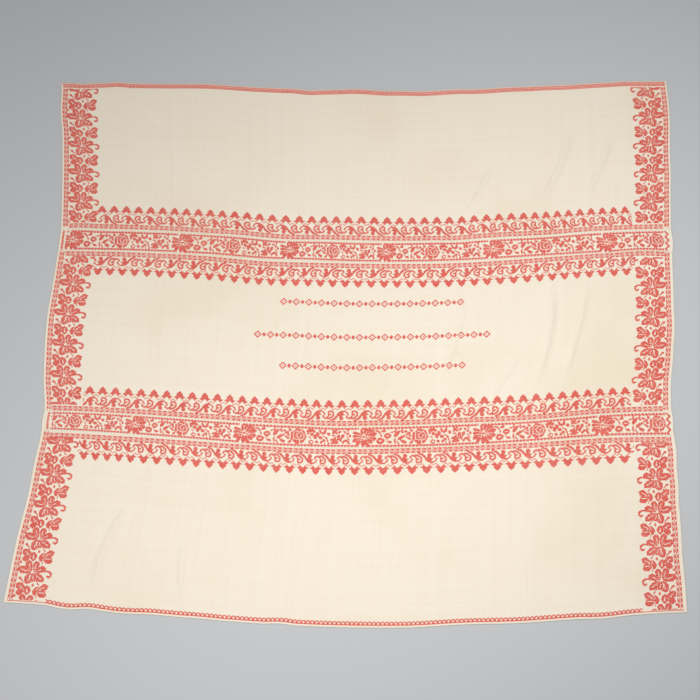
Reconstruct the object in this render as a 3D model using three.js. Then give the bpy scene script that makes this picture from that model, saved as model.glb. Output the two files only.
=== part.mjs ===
// A homespun linen tablecloth, laid out flat: three loom-width panels joined edge to edge by
// two narrow patterned bands. Millimetres, +Z up, +X to the right along the seams, +Y towards
// the back edge. The origin is under the middle of the cloth, on the surface it lies on.
import * as THREE from 'three';

// Driving sizes
const THICKNESS = 1.4;         // linen, with the cross stitch worked into it
const SEAM_GAP = 0.3;          // clear space between the butted edges at a seam
const WIDEST_CELL = 54;        // spacing of the mesh across linen that lies flat
const PANEL_ROWS = 14;
const BAND_ROWS = 2;
const FOLD_STEPS = [-1, -0.5, 0, 0.5, 1];   // mesh columns across a fold, in half widths
const FOLD_TAPER = 0.35;       // share of a fold's length over which each end dies away

const LINEN_COLOUR = 0xe9dfca;
const LINEN_ROUGHNESS = 0.92;

// The lines that run across the cloth, from back to front: where each one starts and ends, how
// far it bows towards the front, where along it the bow is deepest, and how round the bow is.
const LINES = {
  backEdge:  { left: -797, right: 849, leftY: 728, rightY: 733.5, bow: 27, deepest: 0.56, round: 2.0 },
  firstSeam: { left: -771, right: 833, leftY: 298, rightY: 297, bow: 35, deepest: 0.54, round: 2.0 },
  secondSeam: { left: -775, right: 831, leftY: 237, rightY: 234, bow: 33, deepest: 0.54, round: 2.0 },
  thirdSeam: { left: -780, right: 797, leftY: -199, rightY: -201, bow: 39, deepest: 0.50, round: 1.7 },
  fourthSeam: { left: -784, right: 800, leftY: -249, rightY: -264, bow: 39, deepest: 0.50, round: 1.6 },
  frontEdge: { left: -849, right: 803, leftY: -682, rightY: -706, bow: 48, deepest: 0.52, round: 1.3 },
};

// How the four outer edges stray from that: where along the edge a bump or a hollow is, how far it
// goes towards +Y or +X, and half its length
const STRAYS = {
  backEdge: [
    { at: -735, out: -2.5, half: 45 },
    { at: -645, out: 3.2, half: 40 },
    { at: -400, out: 3.6, half: 150 },
    { at: -122, out: -3.4, half: 50 },
    { at: 5, out: 4.5, half: 85 },
    { at: 180, out: -2.0, half: 55 },
    { at: 278, out: 2.0, half: 55 },
    { at: 420, out: 1.5, half: 65 },
    { at: 590, out: -1.5, half: 80 },
    { at: 735, out: 1.6, half: 55 },
  ],
  frontEdge: [
    { at: -695, out: -6.0, half: 65 },
    { at: -570, out: -4.4, half: 95 },
    { at: -370, out: 0.8, half: 60 },
    { at: -180, out: 2.8, half: 45 },
    { at: 262, out: 3.6, half: 150 },
    { at: 600, out: -3.2, half: 80 },
  ],
  leftSide: [
    { at: 640, out: -4.0, half: 75 },
    { at: 150, out: 3.2, half: 110 },
    { at: -115, out: -1.3, half: 60 },
    { at: -222, out: -3.3, half: 55 },
    { at: -420, out: 3.7, half: 110 },
  ],
  rightSide: [
    { at: 630, out: 5.0, half: 150 },
    { at: 460, out: 1.6, half: 70 },
    { at: 260, out: 4.0, half: 45 },
    { at: 25, out: 2.4, half: 65 },
    { at: -118, out: -3.0, half: 70 },
    { at: -212, out: 4.4, half: 35 },
    { at: -290, out: 4.4, half: 75 },
    { at: -370, out: 2.8, half: 50 },
    { at: -550, out: -1.5, half: 70 },
  ],
};

// The middle of the outline these lines draw, which is brought to the origin
const OUTLINE_MIDDLE = { x: 2.1, y: -4.7 };

// Folds: x where each starts and ends, the sideways bend of its middle, the share of the panel's
// depth where it starts and ends, its height, and half its width.
const BACK_FOLDS = [
  { startX: 372, endX: 286, bend: 8, start: 0.50, end: 0.86, height: 4.0, half: 17 },
  { startX: 584, endX: 470, bend: 12, start: 0.32, end: 0.88, height: 5.5, half: 20 },
  { startX: 697, endX: 592, bend: 8, start: 0.34, end: 0.86, height: 4.5, half: 18 },
];
const MIDDLE_FOLDS = [
  { startX: 150, endX: 36, bend: 4, start: 0.52, end: 0.88, height: 2.5, half: 18 },
  { startX: 281, endX: 178, bend: 28, start: 0.14, end: 0.88, height: 4.0, half: 18 },
  { startX: 432, endX: 338, bend: 4, start: 0.56, end: 0.88, height: 3.0, half: 16 },
  { startX: 512, endX: 440, bend: 22, start: 0.14, end: 0.88, height: 5.5, half: 20 },
  { startX: 612, endX: 520, bend: 7, start: 0.14, end: 0.84, height: 4.0, half: 18 },
];
const FRONT_FOLDS = [
  { startX: -516, endX: -628, bend: -36, start: 0.30, end: 0.96, height: 5.5, half: 20 },
  { startX: -401, endX: -404, bend: -20, start: 0.50, end: 0.97, height: 4.5, half: 17 },
];

// The sheets: the two lines each lies between, how far its side edges bulge out between them,
// the rows of its mesh, and the folds that lie in it.
const SHEETS = [
  { name: 'back_panel', from: 'backEdge', to: 'firstSeam',
    leftBulge: -3, rightBulge: 4, rows: PANEL_ROWS, folds: BACK_FOLDS },
  { name: 'back_band', from: 'firstSeam', to: 'secondSeam',
    leftBulge: 0, rightBulge: 0, rows: BAND_ROWS, folds: [] },
  { name: 'middle_panel', from: 'secondSeam', to: 'thirdSeam',
    leftBulge: 15, rightBulge: 7, rows: PANEL_ROWS, folds: MIDDLE_FOLDS },
  { name: 'front_band', from: 'thirdSeam', to: 'fourthSeam',
    leftBulge: 0, rightBulge: 0, rows: BAND_ROWS, folds: [] },
  { name: 'front_panel', from: 'fourthSeam', to: 'frontEdge',
    leftBulge: 3, rightBulge: 1, rows: PANEL_ROWS, folds: FRONT_FOLDS },
];

const mix = THREE.MathUtils.lerp;
const parabola = (share) => 4 * share * (1 - share);

// How far an edge strays from its line, at a place along it
function stray(edge, along) {
  let out = 0;
  for (const bump of STRAYS[edge] ?? []) {
    const across = Math.min(Math.abs(along - bump.at) / bump.half, 1);
    out += bump.out * (0.5 + 0.5 * Math.cos(Math.PI * across));
  }
  return out;
}

// Depth of a line at a share of its length from its left end
function lineY(name, share) {
  const line = LINES[name];
  const eased = Math.pow(share, Math.log(0.5) / Math.log(line.deepest));
  return mix(line.leftY, line.rightY, share)
    - line.bow * Math.pow(Math.sin(Math.PI * eased), line.round)
    + stray(name, mix(line.left, line.right, share));
}

// The side edges of a sheet at a share of its depth, as [left, right]
function sideEdges(sheet, depth) {
  const from = LINES[sheet.from];
  const to = LINES[sheet.to];
  const left = mix(from.left, to.left, depth) - sheet.leftBulge * parabola(depth);
  const right = mix(from.right, to.right, depth) + sheet.rightBulge * parabola(depth);
  const y = mix(from.leftY, to.leftY, depth);
  return [left + stray('leftSide', y), right + stray('rightSide', y)];
}

// Where a fold runs at a share of the panel's depth: past its ends it stays at its end's x
function foldX(fold, depth) {
  const along = THREE.MathUtils.clamp((depth - fold.start) / (fold.end - fold.start), 0, 1);
  return mix(fold.startX, fold.endX, along) + fold.bend * parabola(along);
}

// Height of a fold over the surface: a soft ridge that dies away at both its ends
function foldLift(fold, across, depth) {
  const along = (depth - fold.start) / (fold.end - fold.start);
  if (along <= 0 || along >= 1 || Math.abs(across) >= 1) {
    return 0;
  }
  const taper = THREE.MathUtils.smoothstep(Math.min(along, 1 - along), 0, FOLD_TAPER);
  return fold.height * taper * (0.5 + 0.5 * Math.cos(Math.PI * across));
}

// One row of mesh columns across a sheet: close together over each fold, wide apart between
// them. Each column has its x and its lift.
function rowOfColumns(sheet, depth, cellsBetween) {
  const [left, right] = sideEdges(sheet, depth);
  const columns = [{ x: left, lift: 0 }];
  const stretchTo = (x, cells) => {
    const start = columns[columns.length - 1].x;
    for (let cell = 1; cell <= cells; cell++) {
      columns.push({ x: mix(start, x, cell / cells), lift: 0 });
    }
  };
  sheet.folds.forEach((fold, index) => {
    const middle = foldX(fold, depth);
    stretchTo(middle - fold.half, cellsBetween[index]);
    for (const step of FOLD_STEPS.slice(1)) {
      columns.push({ x: middle + step * fold.half, lift: foldLift(fold, step, depth) });
    }
  });
  stretchTo(right, cellsBetween[sheet.folds.length]);
  return columns;
}

// How many cells fill each flat stretch, the same in every row: enough for its widest place
function countCells(sheet) {
  const counts = new Array(sheet.folds.length + 1).fill(1);
  for (let row = 0; row <= sheet.rows; row++) {
    const depth = row / sheet.rows;
    const [left, right] = sideEdges(sheet, depth);
    let start = left;
    sheet.folds.forEach((fold, index) => {
      const middle = foldX(fold, depth);
      const cells = Math.round((middle - fold.half - start) / WIDEST_CELL);
      counts[index] = Math.max(counts[index], cells);
      start = middle + fold.half;
    });
    const last = counts.length - 1;
    counts[last] = Math.max(counts[last], Math.round((right - start) / WIDEST_CELL));
  }
  return counts;
}

// A closed sheet: an upper and a lower skin one thickness apart, and a rim round them
function sheetGeometry(sheet) {
  const cells = countCells(sheet);
  const halfGap = SEAM_GAP / 2;
  const skin = [];
  let columnCount = 0;
  for (let row = 0; row <= sheet.rows; row++) {
    const depth = row / sheet.rows;
    const columns = rowOfColumns(sheet, depth, cells);
    columnCount = columns.length;
    const left = columns[0].x;
    const width = columns[columnCount - 1].x - left;
    for (const { x, lift } of columns) {
      const share = (x - left) / width;
      const fromY = lineY(sheet.from, share) - halfGap;
      const toY = lineY(sheet.to, share) + halfGap;
      skin.push([x, mix(fromY, toY, depth), lift]);
    }
  }
  const under = skin.length;
  const positions = [
    ...skin.map(([x, y, z]) => [x, y, z + THICKNESS]),
    ...skin,
  ].flat();

  const index = [];
  const at = (row, column) => row * columnCount + column;
  for (let row = 0; row < sheet.rows; row++) {
    for (let column = 0; column < columnCount - 1; column++) {
      const a = at(row, column);
      const b = at(row, column + 1);
      const c = at(row + 1, column);
      const d = at(row + 1, column + 1);
      index.push(a, c, b, b, c, d);
      index.push(a + under, b + under, c + under, b + under, d + under, c + under);
    }
  }
  const rim = [];
  const lastColumn = columnCount - 1;
  for (let row = 0; row < sheet.rows; row++) rim.push(at(row, 0));
  for (let column = 0; column < lastColumn; column++) rim.push(at(sheet.rows, column));
  for (let row = sheet.rows; row > 0; row--) rim.push(at(row, lastColumn));
  for (let column = lastColumn; column > 0; column--) rim.push(at(0, column));
  rim.forEach((here, step) => {
    const next = rim[(step + 1) % rim.length];
    index.push(here, here + under, next, next, here + under, next + under);
  });

  const geometry = new THREE.BufferGeometry();
  geometry.setAttribute('position', new THREE.Float32BufferAttribute(positions, 3));
  geometry.setIndex(index);
  geometry.translate(-OUTLINE_MIDDLE.x, -OUTLINE_MIDDLE.y, 0);
  geometry.computeVertexNormals();
  return geometry;
}

const group = new THREE.Group();
for (const sheet of SHEETS) {
  const linen = new THREE.MeshStandardMaterial({
    color: LINEN_COLOUR,
    roughness: LINEN_ROUGHNESS,
    metalness: 0,
  });
  const mesh = new THREE.Mesh(sheetGeometry(sheet), linen);
  mesh.name = sheet.name;
  group.add(mesh);
}

export default group;
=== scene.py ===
"""A cross-stitched linen tablecloth laid out flat: the looks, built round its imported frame.

Metres, +Z up, +Y towards the back edge. The cloth's own sizes are in millimetres in its tables,
as its maker would measure them, and MM brings them to metres.
"""
import math

import bpy
import numpy as np
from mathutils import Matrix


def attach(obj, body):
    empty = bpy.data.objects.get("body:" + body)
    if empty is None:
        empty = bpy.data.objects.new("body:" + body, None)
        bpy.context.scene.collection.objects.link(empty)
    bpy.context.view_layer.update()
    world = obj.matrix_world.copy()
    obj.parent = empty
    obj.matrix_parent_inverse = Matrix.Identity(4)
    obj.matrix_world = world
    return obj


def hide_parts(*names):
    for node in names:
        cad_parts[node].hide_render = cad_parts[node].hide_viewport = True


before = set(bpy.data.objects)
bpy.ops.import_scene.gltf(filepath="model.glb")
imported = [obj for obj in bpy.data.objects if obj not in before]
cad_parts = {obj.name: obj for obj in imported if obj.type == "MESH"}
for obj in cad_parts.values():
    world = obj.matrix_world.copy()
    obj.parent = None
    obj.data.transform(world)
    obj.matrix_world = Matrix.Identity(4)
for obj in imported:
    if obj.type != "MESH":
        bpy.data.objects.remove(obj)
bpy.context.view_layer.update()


# --- Linen sheets ---------------------------------------------------------------------------
# Three loom widths of homespun linen and two narrow strips, butted edge to edge. Each lies
# flat, with the folds it was stored in still standing as soft ridges, and small creases.
MM = 0.001
CLOTH = 0.9              # thickness of one layer of linen
HEM = 6.0                # width of the turned hem
HEM_LAYER = 0.55         # how much the turned layer adds
SEAM_GAP = 0.3           # clear space between the butted edges at a seam
FOLD_TAPER = 0.35        # share of a fold's length over which each end dies away
COLUMN_STEP = 9.0        # widest cell of the sheet's mesh, across and in depth
ROW_STEP = 12.4
FOLD_CELLS = 8           # cells of the mesh across one fold
SLACK = 0.55             # how far the laid linen rises off the table between the folds
RIM_CELL = 0.9           # width of the thinned rim round every sheet
RIM_CUT = 0.28           # share of the thickness that each of its faces loses there
HEM_STEP = 0.8           # half of the width over which the hem's fold rises
MAP_GAP = 0.04           # between the two faces of a sheet on its flat map

# The lines that run across the cloth, from back to front: where each starts and ends, how far it
# bows to the front, where along it the bow is deepest, and how round the bow is
LINES = {
    "backEdge": dict(left=-797, right=849, leftY=728, rightY=733.5, bow=27, deepest=0.56, round=2.0),
    "firstSeam": dict(left=-771, right=833, leftY=298, rightY=297, bow=35, deepest=0.54, round=2.0),
    "secondSeam": dict(left=-775, right=831, leftY=237, rightY=234, bow=33, deepest=0.54, round=2.0),
    "thirdSeam": dict(left=-780, right=797, leftY=-199, rightY=-201, bow=39, deepest=0.50, round=1.7),
    "fourthSeam": dict(left=-784, right=800, leftY=-249, rightY=-264, bow=39, deepest=0.50, round=1.6),
    "frontEdge": dict(left=-849, right=803, leftY=-682, rightY=-706, bow=48, deepest=0.52, round=1.3),
}

# Folds, which run from back to front: x at both ends and how far the middle bends, the shares of
# the panel's depth at which each starts and ends, its height and half its width
FOLD_CREST = 0.55        # share of a fold's height that is in its narrow crest
BACK_FOLDS = [
    dict(startX=372, endX=286, bend=8, start=0.50, end=0.86, height=4.0, half=17),
    dict(startX=584, endX=470, bend=12, start=0.32, end=0.88, height=5.5, half=20),
    dict(startX=697, endX=592, bend=8, start=0.34, end=0.86, height=4.5, half=18),
]
MIDDLE_FOLDS = [
    dict(startX=150, endX=36, bend=4, start=0.52, end=0.88, height=2.5, half=18),
    dict(startX=281, endX=178, bend=28, start=0.14, end=0.88, height=4.0, half=18),
    dict(startX=432, endX=338, bend=4, start=0.56, end=0.88, height=3.0, half=16),
    dict(startX=512, endX=440, bend=22, start=0.14, end=0.88, height=5.5, half=20),
    dict(startX=612, endX=520, bend=7, start=0.14, end=0.84, height=4.0, half=18),
]
FRONT_FOLDS = [
    dict(startX=-516, endX=-628, bend=-36, start=0.30, end=0.96, height=5.5, half=20),
    dict(startX=-401, endX=-404, bend=-20, start=0.50, end=0.97, height=4.5, half=17),
]

# Small creases: x and share of depth at each end, height and half width
CREASE_TAPER = 0.3       # share of a crease's length over which each end dies away
BACK_CREASES = [
    dict(fromX=-640, fromDepth=0.735, toX=-430, toDepth=0.745, height=1.1, half=13),
    dict(fromX=-215, fromDepth=0.825, toX=-95, toDepth=0.835, height=0.8, half=13),
    dict(fromX=-705, fromDepth=0.055, toX=-590, toDepth=0.115, height=1.2, half=13),
    dict(fromX=-592, fromDepth=0.10, toX=-505, toDepth=0.27, height=1.3, half=14),
    dict(fromX=390, fromDepth=0.08, toX=520, toDepth=0.075, height=1.0, half=13),
    dict(fromX=560, fromDepth=0.16, toX=640, toDepth=0.30, height=1.0, half=14),
]
MIDDLE_CREASES = [
    dict(fromX=72, fromDepth=0.70, toX=30, toDepth=0.84, height=0.9, half=12),
    dict(fromX=-492, fromDepth=0.43, toX=-493, toDepth=0.78, height=1.1, half=11),
    dict(fromX=-459, fromDepth=0.58, toX=-460, toDepth=0.75, height=0.9, half=11),
    dict(fromX=-427, fromDepth=0.51, toX=-414, toDepth=0.76, height=1.0, half=11),
    dict(fromX=-311, fromDepth=0.28, toX=-302, toDepth=0.81, height=1.1, half=11),
    dict(fromX=-690, fromDepth=0.465, toX=-530, toDepth=0.535, height=0.9, half=14),
]
FRONT_CREASES = [
    dict(fromX=-563, fromDepth=0.19, toX=-600, toDepth=0.46, height=1.2, half=13),
    dict(fromX=-503, fromDepth=0.46, toX=-504, toDepth=0.86, height=1.2, half=12),
    dict(fromX=686, fromDepth=0.36, toX=632, toDepth=0.55, height=1.1, half=13),
]

# Each sheet: the lines it lies between, how far its sides bulge, its folds and creases, and the
# width and depth of the hemmed sheet before it is laid, in metres
SHEETS = {
    "back_panel": dict(start="backEdge", end="firstSeam", leftBulge=-3, rightBulge=4,
                       folds=BACK_FOLDS, creases=BACK_CREASES, flat=(1.625, 0.432)),
    "back_band": dict(start="firstSeam", end="secondSeam", leftBulge=0, rightBulge=0,
                      folds=[], creases=[], flat=(1.606, 0.061)),
    "middle_panel": dict(start="secondSeam", end="thirdSeam", leftBulge=15, rightBulge=7,
                         folds=MIDDLE_FOLDS, creases=MIDDLE_CREASES, flat=(1.612, 0.440)),
    "front_band": dict(start="thirdSeam", end="fourthSeam", leftBulge=0, rightBulge=0,
                       folds=[], creases=[], flat=(1.582, 0.056)),
    "front_panel": dict(start="fourthSeam", end="frontEdge", leftBulge=3, rightBulge=1,
                        folds=FRONT_FOLDS, creases=FRONT_CREASES, flat=(1.620, 0.437)),
}

# How the edges and seams stray from their lines: where along one a bump or hollow is, how far it
# goes towards +Y or +X, and half its length
STRAYS = {
    "backEdge": [
        dict(at=-735, out=-2.5, half=45), dict(at=-645, out=3.2, half=40),
        dict(at=-400, out=3.6, half=150), dict(at=-122, out=-3.4, half=50),
        dict(at=5, out=4.5, half=85), dict(at=180, out=-2.0, half=55),
        dict(at=278, out=2.0, half=55), dict(at=420, out=1.5, half=65),
        dict(at=590, out=-1.5, half=80), dict(at=735, out=1.6, half=55),
    ],
    "firstSeam": [
        dict(at=-720, out=2.0, half=60), dict(at=-190, out=-4.2, half=130),
        dict(at=270, out=-2.4, half=70), dict(at=500, out=-2.4, half=130),
    ],
    "secondSeam": [dict(at=-250, out=-3.4, half=130), dict(at=747, out=3.0, half=80)],
    "thirdSeam": [dict(at=-40, out=-2.0, half=120), dict(at=440, out=-4.0, half=220)],
    "fourthSeam": [dict(at=-200, out=-2.2, half=200), dict(at=600, out=2.5, half=200)],
    "frontEdge": [
        dict(at=-695, out=-6.0, half=65), dict(at=-570, out=-4.4, half=95),
        dict(at=-370, out=0.8, half=60), dict(at=-180, out=2.8, half=45),
        dict(at=262, out=3.6, half=150), dict(at=600, out=-3.2, half=80),
    ],
    "leftSide": [
        dict(at=640, out=-4.0, half=75), dict(at=150, out=3.2, half=110),
        dict(at=-115, out=-1.3, half=60), dict(at=-222, out=-3.3, half=55),
        dict(at=-420, out=3.7, half=110),
    ],
    "rightSide": [
        dict(at=630, out=5.0, half=150), dict(at=460, out=1.6, half=70),
        dict(at=260, out=4.0, half=45), dict(at=25, out=2.4, half=65),
        dict(at=-118, out=-3.0, half=70), dict(at=-212, out=4.4, half=35),
        dict(at=-290, out=4.4, half=75), dict(at=-370, out=2.8, half=50),
        dict(at=-550, out=-1.5, half=70),
    ],
}
OUTLINE_MIDDLE = (2.1, -4.7)     # the middle of the outline these draw, brought to the origin


def mix(a, b, share):
    return a + (b - a) * share


def smooth(value, low, high):
    share = np.clip((value - low) / (high - low), 0, 1)
    return share * share * (3 - 2 * share)


def parabola(share):
    return 4 * share * (1 - share)


def stray(edge, along):
    """How far an edge strays from its line, at a place along it."""
    return sum(
        bump["out"] * (0.5 + 0.5 * np.cos(
            math.pi * np.clip(np.abs(along - bump["at"]) / bump["half"], 0, 1)))
        for bump in STRAYS[edge]
    )


def line_y(name, share):
    """Depth of a line across the cloth, at a share of its length from its left end."""
    line = LINES[name]
    inside = np.clip(share, 0, 1)
    eased = inside ** (math.log(0.5) / math.log(line["deepest"]))
    bow = line["bow"] * np.sin(math.pi * eased) ** line["round"]
    along = mix(line["left"], line["right"], share)
    return mix(line["leftY"], line["rightY"], share) - bow + stray(name, along)


def side_edges(sheet, depth):
    """The x of a sheet's left and right edges at a share of its depth."""
    start = LINES[sheet["start"]]
    end = LINES[sheet["end"]]
    left = mix(start["left"], end["left"], depth) - sheet["leftBulge"] * parabola(depth)
    right = mix(start["right"], end["right"], depth) + sheet["rightBulge"] * parabola(depth)
    y = mix(start["leftY"], end["leftY"], depth)
    return left + stray("leftSide", y), right + stray("rightSide", y)


def fold_middle(fold, depth):
    along = np.clip((depth - fold["start"]) / (fold["end"] - fold["start"]), 0, 1)
    return mix(fold["startX"], fold["endX"], along) + fold["bend"] * parabola(along)


def fold_lift(fold, x, depth):
    """Height of a fold: a ridge with a narrow crest, which dies away at both its ends."""
    along = np.clip((depth - fold["start"]) / (fold["end"] - fold["start"]), 0, 1)
    taper = smooth(np.minimum(along, 1 - along), 0, FOLD_TAPER)
    across = np.clip((x - fold_middle(fold, depth)) / fold["half"], -1, 1)
    ridge = 0.5 + 0.5 * np.cos(math.pi * across)
    return fold["height"] * taper * ((1 - FOLD_CREST) * ridge + FOLD_CREST * ridge ** 3)


def crease_lift(crease, x, depth, height):
    """Height of a small crease, a ridge along a straight line between its two ends."""
    start = np.array([crease["fromX"], crease["fromDepth"] * height])
    run = np.array([crease["toX"], crease["toDepth"] * height]) - start
    length = math.hypot(*run)
    along = ((x - start[0]) * run[0] + (depth * height - start[1]) * run[1]) / length
    across = ((depth * height - start[1]) * run[0] - (x - start[0]) * run[1]) / length
    ridge = np.clip(1 - (across / crease["half"]) ** 2, 0, 1) ** 2
    taper = smooth(np.minimum(along, length - along), 0, CREASE_TAPER * length)
    return crease["height"] * ridge * taper


def slack(x, y):
    """Slow unevenness of linen that has been washed and folded for years, from 0 to 1."""
    waves = (
        np.sin(x / 47.0 + 1.3 * np.sin(y / 61.0))
        + np.sin(y / 39.0 + 1.1 * np.sin(x / 83.0) + 1.0)
        + np.sin((x + y) / 29.0 + 2.0)
        + np.sin((x - 0.7 * y) / 113.0 + 0.5)
    )
    return 0.5 + waves / 8


def under_lift(sheet, x, y, depth):
    """Height of the sheet's underside over the table."""
    height = sheet["flat"][1] / MM
    lift = SLACK * slack(x, y)
    for fold in sheet["folds"]:
        lift = lift + fold_lift(fold, x, depth)
    for crease in sheet["creases"]:
        lift = lift + crease_lift(crease, x, depth, height)
    return lift


def hem_rise(sheet, share, depth, width, height):
    """How much thicker the cloth is where its edge is turned under and hemmed."""
    inside = [share * width, (1 - share) * width]
    if sheet["start"] == "backEdge":
        inside.append(depth * height)
    if sheet["end"] == "frontEdge":
        inside.append((1 - depth) * height)
    nearest = np.minimum.reduce(inside)
    return HEM_LAYER * (1 - smooth(nearest, HEM - HEM_STEP, HEM + HEM_STEP))


def spot(sheet, share, depth):
    """A place on a sheet as x, y and the height of its underside, in millimetres."""
    left, right = side_edges(sheet, depth)
    x = mix(left, right, share)
    start = line_y(sheet["start"], share) - SEAM_GAP / 2
    end = line_y(sheet["end"], share) + SEAM_GAP / 2
    y = mix(start, end, depth)
    return x - OUTLINE_MIDDLE[0], y - OUTLINE_MIDDLE[1], under_lift(sheet, x, y, depth)


def steps_between(marks, widest):
    """Places from the first mark to the last, through every mark and no wider apart than widest."""
    places = [marks[0]]
    for start, end in zip(marks, marks[1:]):
        cells = max(1, math.ceil((end - start) / widest))
        places += [mix(start, end, cell / cells) for cell in range(1, cells + 1)]
    return places


def column_places(sheet, depths):
    """The x of every column of a sheet's mesh in every row: close together over each fold."""
    left, right = side_edges(sheet, depths)
    marks = [left, left + RIM_CELL, left + HEM - HEM_STEP, left + HEM + HEM_STEP]
    cells = [1, 1, 1]
    for fold in sheet["folds"]:
        middle = fold_middle(fold, depths)
        gap = np.max(middle - fold["half"] - marks[-1])
        marks += [middle - fold["half"], middle + fold["half"]]
        cells += [math.ceil(gap / COLUMN_STEP), FOLD_CELLS]
    cells.append(math.ceil(np.max(right - HEM - marks[-1]) / COLUMN_STEP))
    marks += [right - HEM - HEM_STEP, right - HEM + HEM_STEP, right - RIM_CELL, right]
    cells += [1, 1, 1]
    at = np.concatenate([[0], np.cumsum(cells)])
    columns = np.arange(at[-1] + 1)
    return np.stack([np.interp(columns, at, row) for row in np.stack(marks, axis=1)])


def mesh_piece(name, vertices, faces):
    """A mesh object from an array of places in metres and one of corner numbers."""
    mesh = bpy.data.meshes.new(name)
    mesh.vertices.add(len(vertices))
    mesh.vertices.foreach_set("co", np.asarray(vertices, np.float32).ravel())
    corners = faces.shape[1]
    mesh.loops.add(faces.size)
    mesh.loops.foreach_set("vertex_index", faces.astype(np.int32).ravel())
    mesh.polygons.add(len(faces))
    mesh.polygons.foreach_set("loop_start", np.arange(0, faces.size, corners, dtype=np.int32))
    mesh.update(calc_edges=True)
    piece = bpy.data.objects.new(name, mesh)
    bpy.context.scene.collection.objects.link(piece)
    return piece


def add_map(piece, name, u, v):
    """A UV map whose value at each vertex is given."""
    corners = np.zeros(len(piece.data.loops), np.int32)
    piece.data.loops.foreach_get("vertex_index", corners)
    layer = piece.data.uv_layers.new(name=name)
    layer.data.foreach_set("uv", np.stack([u[corners], v[corners]], 1).astype(np.float32).ravel())


def grid_faces(rows, columns, first=0, turned=False):
    """Corner numbers of the cells of a grid of points numbered along its rows."""
    row, column = np.mgrid[0:rows - 1, 0:columns - 1]
    a = first + row * columns + column
    cell = [a, a + columns, a + columns + 1, a + 1]
    if turned:
        cell.reverse()
    return np.stack([corner.ravel() for corner in cell], axis=1)


upper_faces = {}             # of each sheet: the depths, shares and places of its mesh's corners


def linen_sheet(name, sheet):
    """A closed sheet of linen: upper and lower skins, thinned at their rim, and hemmed."""
    width, height = (size / MM for size in sheet["flat"])
    hem = [HEM - HEM_STEP, HEM + HEM_STEP]
    marks = [0, RIM_CELL, *hem, height - hem[1], height - hem[0], height - RIM_CELL, height]
    if sheet["start"] != "backEdge":
        marks[2:4] = []
    if sheet["end"] != "frontEdge":
        marks[-4:-2] = []
    depths = np.array(steps_between(marks, ROW_STEP)) / height
    x = column_places(sheet, depths)
    rows, columns = x.shape
    depth = np.repeat(depths[:, None], columns, axis=1)
    share = (x - x[:, :1]) / (x[:, -1:] - x[:, :1])
    x, y, under = spot(sheet, share, depth)
    thick = CLOTH + hem_rise(sheet, share, depth, width, height)
    rim = np.zeros_like(x, bool)
    rim[0] = rim[-1] = True
    rim[:, 0] = rim[:, -1] = True
    upper = under + np.where(rim, (1 - RIM_CUT) * thick, thick)
    lower = under + np.where(rim, RIM_CUT * thick, 0)
    upper_faces[name] = (depths, share, np.stack([x, y, upper], axis=2))
    skins = [np.stack([x, y, z], axis=2).reshape(-1, 3) for z in (upper, lower)]
    count = rows * columns
    number = np.arange(count).reshape(rows, columns)
    around = np.concatenate([
        number[:-1, 0], number[-1, :-1], number[:0:-1, -1], number[0, :0:-1],
    ])
    onward = np.roll(around, -1)
    faces = np.concatenate([
        grid_faces(rows, columns),
        grid_faces(rows, columns, first=count, turned=True),
        np.stack([around, around + count, onward + count, onward], axis=1),
    ])
    piece = mesh_piece(name + "_linen", np.concatenate(skins) * MM, faces)
    piece.data.shade_smooth()
    both = np.concatenate([share.ravel(), share.ravel()])
    deep = np.concatenate([depth.ravel(), depth.ravel()])
    is_under = np.concatenate([np.zeros(count), np.ones(count)])
    add_map(piece, "weave", both * width * MM, (1 - deep) * height * MM)
    face = 0.5 - MAP_GAP / 2
    add_map(piece, "OFBake", both, np.where(is_under, 0, 1 - face) + face * (1 - deep))
    return piece


class Wire:
    """A socket of a finish's nodes, on which sums are written as Python expressions."""

    def __init__(self, finish, socket):
        self.finish = finish
        self.socket = socket

    def sum(self, operation, first, second=None):
        values = {0: first} if second is None else {0: first, 1: second}
        return self.finish.node("ShaderNodeMath", {"operation": operation}, values)

    def __add__(self, other):
        return self.sum("ADD", self, other)

    def __mul__(self, other):
        return self.sum("MULTIPLY", self, other)

    __radd__ = __add__
    __rmul__ = __mul__

    def sine(self):
        return self.sum("SINE", self)

    def between(self, low, high):
        """From 0 at low to 1 at high, eased at both ends."""
        return self.finish.node(
            "ShaderNodeMapRange", {"interpolation_type": "SMOOTHSTEP"},
            {"Value": self, "From Min": low, "From Max": high},
        )


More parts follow.
